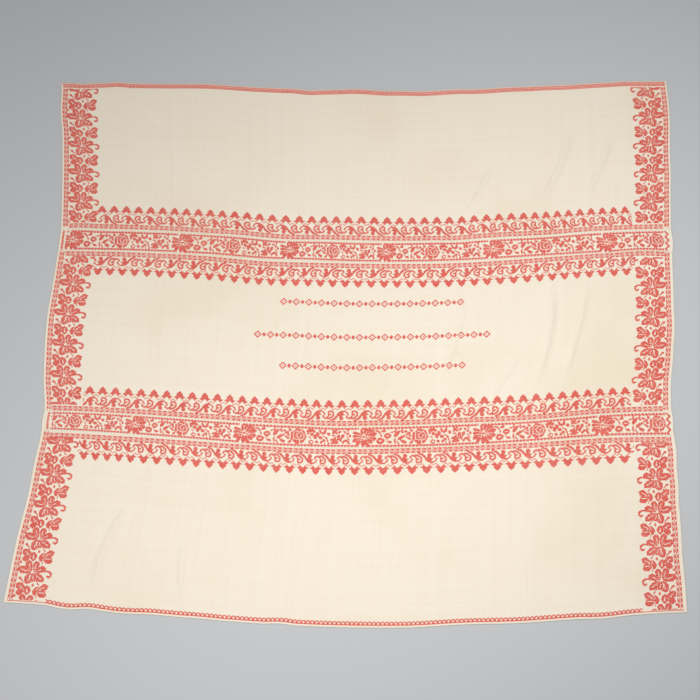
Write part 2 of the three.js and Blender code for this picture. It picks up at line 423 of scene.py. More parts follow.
class Finish:
    """A material built up node by node round its shader."""

    def __init__(self, name, roughness, sheen):
        self.material = bpy.data.materials.new(name)
        self.material.use_nodes = True
        self.tree = self.material.node_tree
        self.shader = self.tree.nodes["Principled BSDF"]
        self.shader.inputs["Roughness"].default_value = roughness
        self.shader.inputs["Sheen Weight"].default_value = sheen
        self.shader.inputs["Specular IOR Level"].default_value = 0.25

    def connect(self, socket, value):
        if isinstance(value, Wire):
            self.tree.links.new(value.socket, socket)
        else:
            socket.default_value = value

    def node(self, kind, settings, values, output=0):
        """Any node: its settings, then the values or links of its sockets."""
        node = self.tree.nodes.new(kind)
        for name, setting in settings.items():
            setattr(node, name, setting)
        for name, value in values.items():
            self.connect(node.inputs[name], value)
        return Wire(self, node.outputs[output])

    def noise(self, place, scale, detail=2.0):
        return self.node(
            "ShaderNodeTexNoise", {}, {"Vector": place, "Scale": scale, "Detail": detail}, "Fac",
        )

    def stretched(self, place, scale):
        """A place with each of its axes drawn out by its own amount."""
        return self.node("ShaderNodeMapping", {}, {"Vector": place, "Scale": scale})

    def blend(self, share, first, second):
        """A colour that turns from the first to the second as share goes from 0 to 1."""
        mixer = self.tree.nodes.new("ShaderNodeMix")
        mixer.data_type = "RGBA"
        colours = [socket for socket in mixer.inputs if socket.type == "RGBA"]
        self.connect(mixer.inputs[0], share)
        self.connect(colours[0], first)
        self.connect(colours[1], second)
        return Wire(self, [socket for socket in mixer.outputs if socket.type == "RGBA"][0])

    def colour(self, value):
        self.connect(self.shader.inputs["Base Color"], value)

    def relief(self, height, depth):
        """Small relief of the surface, depth metres from its lowest to its highest."""
        bump = self.node(
            "ShaderNodeBump", {}, {"Height": height, "Distance": depth, "Strength": 1.0}, "Normal",
        )
        self.connect(self.shader.inputs["Normal"], bump)


THREAD_PITCH = 0.00068       # from one thread of the linen to the next
LINEN = (0.84, 0.74, 0.59, 1)
LINEN_PALE = (0.875, 0.79, 0.66, 1)
LINEN_AGED = (0.79, 0.675, 0.50, 1)
LINEN_STAIN = (0.72, 0.60, 0.43, 1)


def linen_finish():
    """Plain weave of handspun thread, uneven and yellowed in patches with age."""
    finish = Finish("linen", roughness=0.9, sheen=0.12)
    place = finish.node("ShaderNodeTexCoord", {}, {}, "Object")
    weave = finish.node("ShaderNodeUVMap", {"uv_map": "weave"}, {})
    turn = 2 * math.pi / THREAD_PITCH
    u = finish.node("ShaderNodeSeparateXYZ", {}, {"Vector": weave}, "X")
    v = finish.node("ShaderNodeSeparateXYZ", {}, {"Vector": weave}, "Y")
    crossing = (u * turn).sine() * (v * turn).sine()
    weft_slubs = finish.noise(finish.stretched(weave, (9.0, 1100.0, 1.0)), 1.0)
    warp_slubs = finish.noise(finish.stretched(weave, (1100.0, 7.0, 1.0)), 1.0)
    slubs = weft_slubs + warp_slubs
    finish.relief(0.5 * crossing + 1.6 * slubs, 0.00007)
    bars = finish.noise(finish.stretched(weave, (1.6, 160.0, 1.0)), 1.0, 3.0)
    streaks = finish.noise(finish.stretched(weave, (210.0, 2.2, 1.0)), 1.0, 3.0)
    uneven = (0.5 * bars + 0.5 * streaks).between(0.40, 0.62)
    cloth = finish.blend(0.55 * uneven + 0.25 * slubs.between(0.8, 1.25), LINEN_PALE, LINEN)
    aged = finish.noise(place, 2.3, 4.0).between(0.46, 0.72)
    cloth = finish.blend(0.5 * aged, cloth, LINEN_AGED)
    stains = finish.noise(finish.stretched(place, (1.0, 1.3, 1.0)), 5.2, 5.0).between(0.66, 0.80)
    finish.colour(finish.blend(0.35 * stains, cloth, LINEN_STAIN))
    return finish.material


sheets = {name: linen_sheet(name, sheet) for name, sheet in SHEETS.items()}
linen = linen_finish()
for name, piece in sheets.items():
    piece.data.materials.append(linen)
    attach(piece, "root")
    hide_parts(name)

# --- Cross stitch ---------------------------------------------------------------------------
# Red cotton worked over counted threads: each stitch is a cross of two short legs of thread,
# the upper leg always laid the same way. One is made here and every motif is sewn with it.
STITCH = 2.04            # from one stitch to the next
LEG_LENGTH = 1.42        # of the cross's two legs, in stitches
LEG_WIDTH = 0.50
LEG_SUNK = 0.01          # how deep a leg's edges lie in the linen, in millimetres
LOWER_RISE = 0.34        # height of each leg's middle over its edges, in millimetres
UPPER_RISE = 0.46
STRAY = 0.035            # how far a stitch strays from its place, in stitches
RED = (0.77, 0.080, 0.058, 1)
RED_FADED = (0.82, 0.135, 0.098, 1)
RED_DEEP = (0.66, 0.050, 0.040, 1)


def one_cross():
    """The corners, faces and thread map of one stitch, one stitch wide and one high."""
    middle = (0, 0, 0)
    bpy.ops.object.select_all(action="DESELECT")
    bpy.ops.mesh.primitive_cone_add(
        vertices=4, radius1=math.sqrt(0.5), radius2=0, depth=1, end_fill_type="NOTHING",
        location=(0, 0, 0.5), rotation=(0, 0, math.pi / 4),
    )
    bpy.ops.object.transform_apply(location=True, rotation=True, scale=True)
    cross = bpy.context.object
    bpy.ops.object.mode_set(mode="EDIT")
    bpy.ops.mesh.select_all(action="SELECT")
    bpy.ops.transform.resize(value=(LEG_LENGTH, LEG_WIDTH, LOWER_RISE), center_override=middle)
    bpy.ops.transform.rotate(value=math.pi / 4, orient_axis="Z", center_override=middle)
    bpy.ops.mesh.duplicate()
    bpy.ops.transform.rotate(value=math.pi / 2, orient_axis="Z", center_override=middle)
    bpy.ops.transform.resize(value=(1, 1, UPPER_RISE / LOWER_RISE), center_override=middle)
    bpy.ops.object.mode_set(mode="OBJECT")
    corners = np.array([vertex.co for vertex in cross.data.vertices])
    faces = np.array([face.vertices for face in cross.data.polygons])
    bpy.data.objects.remove(cross)
    rising = np.arange(len(corners)) < len(corners) // 2
    along = np.where(rising, corners[:, 0] + corners[:, 1], corners[:, 0] - corners[:, 1])
    over = np.where(rising, corners[:, 0] - corners[:, 1], corners[:, 0] + corners[:, 1])
    return corners, faces, np.stack([along, over], axis=1)


CROSS, CROSS_FACES, CROSS_THREAD = one_cross()


def thread_finish():
    """Madder-red cotton, a little faded, each stitch with its own tone and its plies twisted."""
    finish = Finish("red cotton", roughness=0.72, sheen=0.18)
    place = finish.node("ShaderNodeTexCoord", {}, {}, "Object")
    thread = finish.node("ShaderNodeUVMap", {"uv_map": "thread"}, {})
    along = finish.node("ShaderNodeSeparateXYZ", {}, {"Vector": thread}, "X")
    over = finish.node("ShaderNodeSeparateXYZ", {}, {"Vector": thread}, "Y")
    finish.relief((along * 19.0 + over * 16.0).sine(), 0.00006)
    shade = finish.node("ShaderNodeAttribute", {"attribute_name": "shade"}, {}, "Fac")
    faded = finish.noise(place, 6.0, 3.0).between(0.38, 0.68)
    red = finish.blend(0.75 * faded, RED, RED_FADED)
    finish.colour(finish.blend(0.8 * shade.between(0.35, 1.0), red, RED_DEEP))
    return finish.material


red_cotton = thread_finish()


def chart(text):
    """A chart of stitches, a mark for each one that is sewn."""
    return np.array([[mark == "#" for mark in row] for row in text.split()])


def place_at(marks, number):
    """Where the repeat of a number falls, between marks and on past both their ends."""
    numbers, places = np.array(marks, float).T
    first = (places[1] - places[0]) / (numbers[1] - numbers[0])
    last = (places[-1] - places[-2]) / (numbers[-1] - numbers[-2])
    before = np.minimum(number - numbers[0], 0) * first
    after = np.maximum(number - numbers[-1], 0) * last
    return np.interp(number, numbers, places) + before + after


def on_cloth(sheet_name, share, depth):
    """Places on a sheet's upper face, in millimetres, each on its own triangle of the mesh."""
    depths, shares, corners = upper_faces[sheet_name]
    row = np.clip(np.searchsorted(depths, depth) - 1, 0, len(depths) - 2)
    down = (depth - depths[row]) / (depths[row + 1] - depths[row])
    last = shares.shape[1] - 2
    column = np.zeros(row.shape, int)
    for number in np.unique(row):
        here = row == number
        column[here] = np.clip(np.searchsorted(shares[number], share[here]) - 1, 0, last)
    # where the columns slant from one row to the next, the first one found may be some way off
    for correction in range(4):
        left = mix(shares[row, column], shares[row + 1, column], down)
        right = mix(shares[row, column + 1], shares[row + 1, column + 1], down)
        column = np.clip(column - (share < left) + (share > right), 0, last)
    back_left = shares[row, column]
    back_right = shares[row, column + 1]
    front_left = shares[row + 1, column]
    front_right = shares[row + 1, column + 1]
    across = np.where(
        share < mix(back_left, front_right, down),
        (share - mix(back_left, front_left, down)) / (front_right - front_left),
        (share - back_left - down * (front_right - back_right)) / (back_right - back_left),
    )
    near = np.minimum(across, down)[..., None]
    far = np.maximum(across, down)[..., None]
    beside = np.where(
        (across < down)[..., None], corners[row + 1, column], corners[row, column + 1],
    )
    return (1 - far) * corners[row, column] + (far - near) * beside + near * corners[row + 1, column + 1]


def lay_out(piece, places):
    """A flat map of a piece as it is seen from above."""
    plan = [(side - side.min()) / (side.max() - side.min()) for side in (places[:, 0], places[:, 1])]
    add_map(piece, "OFBake", *plan)


def embroider(name, sheet_name, share, depth, across, down):
    """A piece of cross stitch on a sheet: each stitch's middle and size, as shares of the sheet."""
    count = len(share)
    chance = np.random.default_rng(len(name) + count)
    stray = chance.uniform(-STRAY, STRAY, (count, 2))
    at_share = share[:, None] + across[:, None] * (CROSS[:, 0] + stray[:, :1])
    at_depth = depth[:, None] - down[:, None] * (CROSS[:, 1] + stray[:, 1:])
    places = on_cloth(sheet_name, at_share, at_depth)
    places[:, :, 2] += CROSS[:, 2] * chance.uniform(0.8, 1.15, (count, 1)) - LEG_SUNK
    places = places.reshape(-1, 3) * MM
    first = np.arange(count)[:, None, None] * len(CROSS)
    piece = mesh_piece(name, places, (first + CROSS_FACES).reshape(-1, 3))
    piece.data.shade_smooth()
    thread = np.tile(CROSS_THREAD, (count, 1))
    add_map(piece, "thread", thread[:, 0], thread[:, 1])
    lay_out(piece, places)
    shade = piece.data.attributes.new("shade", "FLOAT", "POINT")
    shade.data.foreach_set("value", np.repeat(chance.random(count), len(CROSS)).astype(np.float32))
    piece.data.materials.append(red_cotton)
    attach(piece, "root")
    sewn_on[sheet_name].append(piece)
    return piece


sewn_on = {name: [] for name in SHEETS}

# --- Seam borders ---------------------------------------------------------------------------
# Along both long edges of every panel but the outer ones: a guard of broken lines next to the
# seam, a running scroll, a thin wavy line and a row of crowns. Sewn on the panels, not the bands.
GUARD = chart("""
    ######.#####.
    .####..####..
    .#..#.#..#.##
    #.##.#.##.#..
    ..####..####.
    #####.######.
""")
CROWN = chart("""
    .......##.......
    ......####......
    .....######.....
    ....########....
    ....########....
    ....########....
    ...##########...
    .##############.
    ..#####..#####..
    ....##....##....
    #...#......#...#
    .#.#........#.#.
    ..#..........#..
""")
CROWN_HALF = 16              # from a crown's middle to where the row of crowns may end
SCROLL_SIZE = (13, 29)       # rows and columns of one repeat of the scroll
SCROLL_LINES = [             # its stalk, the arch over its leaf, its curl and the hook inside that
    dict(thick=2.4, points=[
        (15.0, 12.2), (18.5, 10.8), (20.9, 8.8), (22.7, 6.0), (24.7, 3.4), (27.3, 1.6), (29.9, 0.8)]),
    dict(thick=1.9, points=[(29.9, 0.8), (33.1, 1.6), (35.3, 3.4), (36.4, 5.4)]),
    dict(thick=2.1, points=[
        (4.9, 7.2), (5.6, 8.8), (7.4, 9.7), (9.6, 9.4), (11.3, 7.8), (11.8, 5.6), (11.6, 3.4),
        (12.6, 1.6), (14.9, 0.6), (17.1, 1.6), (18.3, 3.8), (18.0, 6.0), (16.6, 7.9), (14.6, 9.3),
        (12.2, 9.9), (10.4, 9.6)]),
    dict(thick=1.5, points=[(11.8, 6.9), (13.4, 5.4), (15.1, 4.5)]),
]
CURL_MIDDLE = 14.5           # column of the scroll that its curl turns round
SCROLL_KEPT = (96, 102)      # what the side borders take of each end of the scroll
GUARD_KEPT = (19, 20)        # and of each end of the guard

# Petals and leaves: where each springs from and ends, how wide it is, how far along it is
# fullest, and how wide a vein is left bare in it, in stitches
PETAL_COLUMNS = ("rootX", "rootY", "tipX", "tipY", "wide", "fullest", "vein")
PETAL_ROUND = 0.6            # below 1, petals are fuller towards their ends
VEIN_SPAN = (0.25, 0.75)     # of a petal's length, where its vein is left bare
SCROLL_LEAVES = [
    (21.6, 7.6, 30.2, 0.6, 5.0, 0.62, 0.0),
    (24.6, 5.0, 32.4, 5.4, 2.8, 0.40, 0.0),
    (26.0, 4.2, 28.2, 12.2, 5.6, 0.68, 0.0),
]

# Each border: the panel it is sewn on, whether it lies at the panel's front edge, whether its
# scroll runs the other way, the height of a row, the plain linen between the seam and the guard
# at places along it, and marks of repeat number and x along it for crowns and curls
SEAM_BORDERS = {
    "first": dict(
        sheet="back_panel", atFront=True, mirrored=True, row=2.04,
        margins=[(-570, 1.2), (-342, 0.5), (-105, 0.5), (14, 1.8), (189, 0.7), (390, 1.4), (628, 0.7)],
        crowns=[(0, -666), (4, -537), (10, -348), (14, -216), (16, -144), (20, -15), (23, 87),
                (27, 218), (34, 447), (37, 536), (43, 715)],
        curls=[(0, -627), (5, -342), (7, -220), (8, -157), (9, -98), (11, 17), (12, 75), (14, 188),
               (16, 310), (18, 421), (23, 679)],
    ),
    "second": dict(
        sheet="middle_panel", atFront=False, mirrored=True, row=2.055,
        margins=[(-640, 3.2), (-455, 4.2), (-335, 5.4), (-159, 7.3), (-42, 5.0), (75, 4.5),
                 (290, 6.0), (441, 4.7), (640, 2.0)],
        crowns=[(0, -668), (3, -572), (6, -475), (10, -344), (16, -152), (20, -24), (22, 44),
                (27, 212), (32, 379), (34, 450), (36, 515), (42, 709)],
        curls=[(0, -634), (2, -511), (5, -335), (9, -105), (10, -48), (12, 76), (18, 442), (19, 501),
               (20, 559), (22, 671)],
    ),
    "third": dict(
        sheet="middle_panel", atFront=True, mirrored=False, row=2.085,
        margins=[(-576, 0.5), (-343, 2.0), (-228, 0.8), (-113, 0.5), (2, 1.2), (119, 0.5), (593, 0.5)],
        crowns=[(0, -670), (7, -442), (10, -346), (16, -158), (19, -64), (22, 34), (28, 230),
                (35, 460), (37, 527), (42, 686)],
        curls=[(0, -634), (4, -399), (8, -173), (10, -60), (12, 60), (15, 235), (17, 355), (19, 476),
               (22, 651)],
    ),
    "fourth": dict(
        sheet="front_panel", atFront=False, mirrored=False, row=2.02,
        margins=[(-620, 7.3), (-477, 5.6), (-366, 4.5), (-254, 2.4), (-197, 3.0), (-60, 5.2),
                 (30, 4.0), (153, 2.0), (400, 2.4), (526, 4.2), (638, 4.2)],
        crowns=[(0, -676), (4, -559), (10, -362), (14, -227), (19, -64), (21, 0), (24, 107),
                (26, 180), (29, 286), (34, 461), (40, 674)],
        curls=[(0, -645), (2, -535), (5, -366), (8, -193), (10, -80), (12, 35), (13, 99), (14, 160),
               (17, 344), (19, 469), (21, 594), (22, 657)],
    ),
}


def petal(x, y, row, margin=0.0):
    """Which stitches lie in a petal or leaf, or in it and a margin round it."""
    shape = dict(zip(PETAL_COLUMNS, row))
    run_x = shape["tipX"] - shape["rootX"]
    run_y = shape["tipY"] - shape["rootY"]
    reach = math.hypot(run_x, run_y)
    along = ((x - shape["rootX"]) * run_x + (y - shape["rootY"]) * run_y) / reach
    along = (along + margin) / (reach + 2 * margin)
    over = ((y - shape["rootY"]) * run_x - (x - shape["rootX"]) * run_y) / reach
    rounded = np.clip(along, 0, 1) ** (math.log(0.5) / math.log(shape["fullest"]))
    half = shape["wide"] / 2 * np.sin(math.pi * rounded) ** PETAL_ROUND + margin
    inside = (np.abs(over) < half) & (along > 0) & (along < 1)
    if margin:
        return inside
    veined = (along > VEIN_SPAN[0]) & (along < VEIN_SPAN[1])
    return inside & ~(veined & (np.abs(over) < shape["vein"] / 2))


def thread_line(x, y, points, thick):
    """Which stitches lie along a line of points."""
    near = np.full(x.shape, 1e9)
    for (ax, ay), (bx, by) in zip(points, points[1:]):
        run = (bx - ax) ** 2 + (by - ay) ** 2
        along = np.clip(((x - ax) * (bx - ax) + (y - ay) * (by - ay)) / run, 0, 1)
        near = np.minimum(near, np.hypot(x - mix(ax, bx, along), y - mix(ay, by, along)))
    return near < thick / 2


def scroll_chart():
    """One repeat of the scroll: a stalk with its leaf, and a curl that leans over the next."""
    rows, columns = SCROLL_SIZE
    x, y = np.meshgrid(np.arange(columns) + 0.5, np.arange(rows) + 0.5)
    sewn = np.zeros(x.shape, bool)
    for shift in (0, columns):
        for line in SCROLL_LINES:
            sewn |= thread_line(x + shift, y, line["points"], line["thick"])
        for row in SCROLL_LEAVES:
            sewn |= petal(x + shift, y, row)
    return sewn


SCROLL = scroll_chart()


def run_along(pattern, marks, middle, start, end):
    """The stitches of a pattern repeated along a line from start to end: row, x and width."""
    columns = pattern.shape[1]
    first = math.floor(marks[0][0] - (marks[0][1] - start) / STITCH / columns) - 1
    last = math.ceil(marks[-1][0] + (end - marks[-1][1]) / STITCH / columns) + 1
    sewn = np.tile(pattern, (1, last - first))
    edges = first + (np.arange(sewn.shape[1] + 1) - middle) / columns
    edges = place_at(marks, edges)
    x = (edges[:-1] + edges[1:]) / 2
    row, column = np.nonzero(sewn & (x > start) & (x < end))
    return row, x[column], (edges[1:] - edges[:-1])[column]


def seam_border(number, border):
    sheet = SHEETS[border["sheet"]]
    height = sheet["flat"][1] / MM
    left, right = side_edges(sheet, 1.0 if border["atFront"] else 0.0)
    guard_start, guard_end = left + GUARD_KEPT[0], right - GUARD_KEPT[1]
    repeats = round((guard_end - guard_start) / STITCH / GUARD.shape[1])
    guard_marks = [(0, guard_start), (repeats, guard_end)]
    crowns = border["crowns"]
    parts = [
        (GUARD, guard_marks, 0, 0, guard_start, guard_end),
        (SCROLL, border["curls"], CURL_MIDDLE, len(GUARD), left + SCROLL_KEPT[0],
         right - SCROLL_KEPT[1]),
        (CROWN, crowns, CROWN.shape[1] / 2, len(GUARD) + len(SCROLL),
         crowns[0][1] - CROWN_HALF, crowns[-1][1] + CROWN_HALF),
    ]
    found = []
    for pattern, marks, middle, rows_below, start, end in parts:
        if border["mirrored"]:
            pattern = pattern[:, ::-1]
            middle = pattern.shape[1] - middle
        row, x, wide = run_along(pattern, marks, middle, start, end)
        margin = np.interp(x, *np.transpose(border["margins"]))
        from_seam = margin + (rows_below + len(pattern) - row - 0.5) * border["row"]
        found.append(np.stack([x, wide, from_seam]))
    x, wide, from_seam = np.concatenate(found, axis=1)
    depth = 1 - from_seam / height if border["atFront"] else from_seam / height
    left, right = side_edges(sheet, depth)
    share = (x - left) / (right - left)
    down = np.full(len(x), border["row"] / height)
    embroider("seam_border_" + number, border["sheet"], share, depth, wide / (right - left), down)


for number, border in SEAM_BORDERS.items():
    seam_border(number, border)

# --- Side borders ---------------------------------------------------------------------------
# Down both sides of every panel: a guard of broken lines along the hem, and a column of large
# flowers, each with a curled tendril towards the field and a spray of leaves under it.
FLOWER_ROWS = 40
FLOWER_COLUMNS = (-17, 25)   # from the flower's middle, towards the hem and towards the field
FLOWER_ABOVE = 11            # rows of the motif that are over the flower's middle
FLOWER_PETALS = [
    (-1.6, 0.4, -18.0, -4.4, 9.2, 0.60, 0.9),
    (-1.2, -0.6, -8.1, -13.6, 7.8, 0.66, 0.9),
    (0.9, -0.6, 4.1, -13.4, 7.2, 0.67, 0.9),
    (1.0, -0.2, 14.8, -5.7, 7.8, 0.61, 0.9),
    (1.8, 0.8, 15.2, 10.4, 7.9, 0.60, 0.9),
    (-0.8, 0.8, -5.0, 13.8, 10.2, 0.56, 1.0),
    (0.2, 1.0, 3.4, 11.4, 7.2, 0.60, 0.9),
    (-5.8, 20.4, -16.0, 14.0, 8.2, 0.58, 0.9),
    (-6.0, 21.2, -14.8, 26.0, 7.6, 0.55, 0.0),
    (-2.9, 16.2, -1.5, 26.8, 7.8, 0.50, 1.2),
    (9.4, 16.4, 6.8, 27.2, 7.4, 0.55, 0.0),
    (9.0, 20.6, 21.4, 15.0, 7.8, 0.62, 0.9),
    (9.8, 24.8, 21.0, 26.2, 7.4, 0.55, 0.0),
    (10.0, 22.2, 20.2, 21.6, 3.0, 0.55, 0.0),
    (-11.4, 9.2, -14.6, 5.8, 3.4, 0.50, 0.0),
    (3.4, 13.0, 3.2, 17.0, 2.8, 0.60, 0.0),
]
PETAL_GAP = 0.5              # plain linen left between a petal and those under it
FLOWER_LINES = [             # its tendril, a small tooth on the guard beside it, and its stalks
    dict(thick=2.2, points=[
        (13.6, -1.4), (16.4, -2.4), (19.4, -2.0), (21.9, 0.4), (22.1, 2.8), (20.4, 4.5), (18.2, 4.3)]),
    dict(thick=2.2, points=[(-17.0, -11.5), (-15.4, -11.5)]),
    dict(thick=1.3, points=[(6.4, 9.4), (8.0, 12.0), (10.2, 14.8)]),
    dict(thick=1.3, points=[(-11.6, 8.8), (-9.4, 11.2), (-8.2, 13.6)]),
    dict(thick=1.3, points=[(-8.4, 14.8), (-6.4, 17.2), (-5.0, 19.4)]),
    dict(thick=1.3, points=[(9.4, 27.4), (9.2, 29.8)]),
]
FLOWER_FROM_EDGE = 23.0      # stitches from the hem's inner edge to the flower's middle
EDGING_DEPTH = 17.0          # what the back edging takes of the side borders' ends
SEAM_GUARD_DEPTH = 17.0      # and what the seams' guards take
FRONT_HEM_DEPTH = HEM + 2.0  # and what the front hem takes
GUARD_MARGIN = 3.5           # from a seam to the ends of the side guards

# Each border: its side's plain hem, and how far down the panel each flower's middle is
SIDE_BORDERS = {
    "back_left": dict(sheet="back_panel", onRight=False, hem=5.4, flowers=(21.5, 107, 190, 271.5, 354)),
    "back_right": dict(sheet="back_panel", onRight=True, hem=5.3, flowers=(22, 107, 190, 272, 354)),
    "middle_left": dict(sheet="middle_panel", onRight=False, hem=6.0, flowers=(12, 95.5, 178.5, 262, 347)),
    "middle_right": dict(sheet="middle_panel", onRight=True, hem=7.8, flowers=(18, 101.5, 184.5, 268, 353)),
    "front_left": dict(sheet="front_panel", onRight=False, hem=7.7, flowers=(33, 114.5, 195.5, 277, 360)),
    "front_right": dict(sheet="front_panel", onRight=True, hem=9.3, flowers=(27.5, 110, 192, 274.5, 358)),
}


def flower_chart():
    """One repeat of the side border, its top row first and its hem side to the left."""
    x, y = np.meshgrid(np.arange(*FLOWER_COLUMNS) + 0.5, np.arange(FLOWER_ROWS) - FLOWER_ABOVE + 0.5)
    sewn = np.zeros(x.shape, bool)
    for shift in (-FLOWER_ROWS, 0, FLOWER_ROWS):
        for row in FLOWER_PETALS:
            sewn &= ~petal(x, y + shift, row, margin=PETAL_GAP)
            sewn |= petal(x, y + shift, row)
        for line in FLOWER_LINES:
            sewn |= thread_line(x, y + shift, line["points"], line["thick"])
    return sewn


FLOWER = flower_chart()


def side_border(place, border):
    sheet = SHEETS[border["sheet"]]
    width, height = (size / MM for size in sheet["flat"])
    at_back = border["sheet"] == "back_panel"
    at_front = border["sheet"] == "front_panel"
    top = EDGING_DEPTH if at_back else SEAM_GUARD_DEPTH
    foot = height - (FRONT_HEM_DEPTH if at_front else SEAM_GUARD_DEPTH)
    # the flowers, cut off where the edgings and the seams' guards run
    marks = list(enumerate(border["flowers"]))
    sewn = np.tile(FLOWER, (len(marks) + 2, 1))
    edges = (np.arange(len(sewn) + 1) - FLOWER_ABOVE) / FLOWER_ROWS - 1
    edges = place_at(marks, edges)
    middle = (edges[:-1] + edges[1:]) / 2
    row, column = np.nonzero(sewn & ((middle > top) & (middle < foot))[:, None])
    inward = border["hem"] + (FLOWER_FROM_EDGE + FLOWER_COLUMNS[0] + column + 0.5) * STITCH
    found = [np.stack([inward, middle[row], (edges[1:] - edges[:-1])[row]])]
    # the guard, which runs on over the seams' guards
    rows = np.arange((height - 2 * GUARD_MARGIN) // STITCH)
    down = GUARD_MARGIN + (rows + 0.5) * STITCH
    kept = (down > (top if at_back else 0)) & (down < (foot if at_front else height))
    guard = GUARD.T[rows.astype(int) % GUARD.shape[1]]
    row, column = np.nonzero(guard & kept[:, None])
    inward = border["hem"] + (column + 0.5) * STITCH
    found.append(np.stack([inward, down[row], np.full(len(row), STITCH)]))
    inward, down, high = np.concatenate(found, axis=1)
    share = inward / width
    if border["onRight"]:
        share = 1 - share
    across = np.full(len(share), STITCH / width)
    embroider("side_border_" + place, border["sheet"], share, down / height, across, high / height)


for place, border in SIDE_BORDERS.items():
    side_border(place, border)

# --- Rose bands -----------------------------------------------------------------------------
# The two narrow strips of linen, each sewn from end to end with roses, stars, leaves and buds
# between two broken lines.
BAND_COLUMNS = 140           # one repeat, from rose to rose
BAND_ROWS = 26
BAND_LEFT = 10               # columns of the repeat that are to the left of the rose's middle
STAR_X = 77.5                # from the rose's middle to the star's
STAR_CLEAR = 5.5             # the broken lines stop this far to either side of it
BAND_LINE = chart("""
    .###
    ####
    .##.
""")
LEFT_CLOSING = np.tile(BAND_LINE.T, (7, 1))[:BAND_ROWS]
RIGHT_CLOSING = np.tile(chart("""
    ###...
    .###..
    ..###.
    ...###
    ...###
    ..###.
    .###..
    ###...
"""), (4, 1))[:BAND_ROWS]

ROSE_RADIUS = 9.4
ROSE_SCALLOPS = 7            # bumps round its rim
SCALLOP_SHARE = 0.05         # and how far they reach, as a share of the radius
ROSE_VEIN = 0.9              # width of the bare lines that part the rose's petals
ROSE_VEINS = [               # from its middle: the outer petals, the inner ones, and short cuts
    [(-5.4, -5.6), (-6.1, -1.6), (-5.2, 2.6), (-2.6, 4.5), (1.0, 4.8), (4.2, 4.3), (6.6, 2.4),
     (7.2, -0.8), (5.8, -3.6), (2.6, -5.6)],
    [(-3.6, -6.6), (-0.8, -6.6), (1.4, -5.4), (-1.0, -3.4), (-2.6, -2.4), (-1.2, 1.4), (1.0, 2.8),
     (2.8, 1.0), (2.2, -1.4), (4.6, -2.4), (5.4, -0.6)],
    [(2.6, -5.6), (4.6, -9.6)], [(7.2, -0.8), (10.0, -2.4)], [(1.0, 4.8), (1.8, 10.0)],
    [(-5.2, 2.6), (-7.8, 6.6)],
]
STAR_PETALS = [              # from the star's middle
    (-2.4, -0.8, -0.7, -13.2, 4.6, 0.60, 0.0),
    (3.2, -0.8, 2.7, -13.4, 5.0, 0.60, 0.0),
    (-2.4, -2.4, -12.6, -6.9, 4.4, 0.55, 0.0),
    (-1.4, 0.0, -13.0, -1.8, 4.8, 0.60, 0.0),
    (-1.2, 2.0, -12.8, 5.6, 6.8, 0.58, 0.0),
    (-3.4, 3.6, -8.0, 10.4, 5.8, 0.52, 0.0),
    (-0.4, 0.8, -0.2, 13.2, 4.6, 0.62, 0.0),
    (2.6, 0.8, 5.1, 13.2, 4.8, 0.62, 0.0),
    (2.8, 0.6, 14.4, 2.6, 6.8, 0.62, 0.0),
    (5.0, 2.0, 10.0, 7.8, 5.4, 0.52, 0.0),
    (2.4, -1.4, 10.6, -9.8, 6.4, 0.62, 0.0),
    (4.6, -1.4, 14.4, -5.2, 5.8, 0.58, 0.0),
    (-1.1, -0.4, 2.1, -0.4, 2.4, 0.50, 0.0),
]
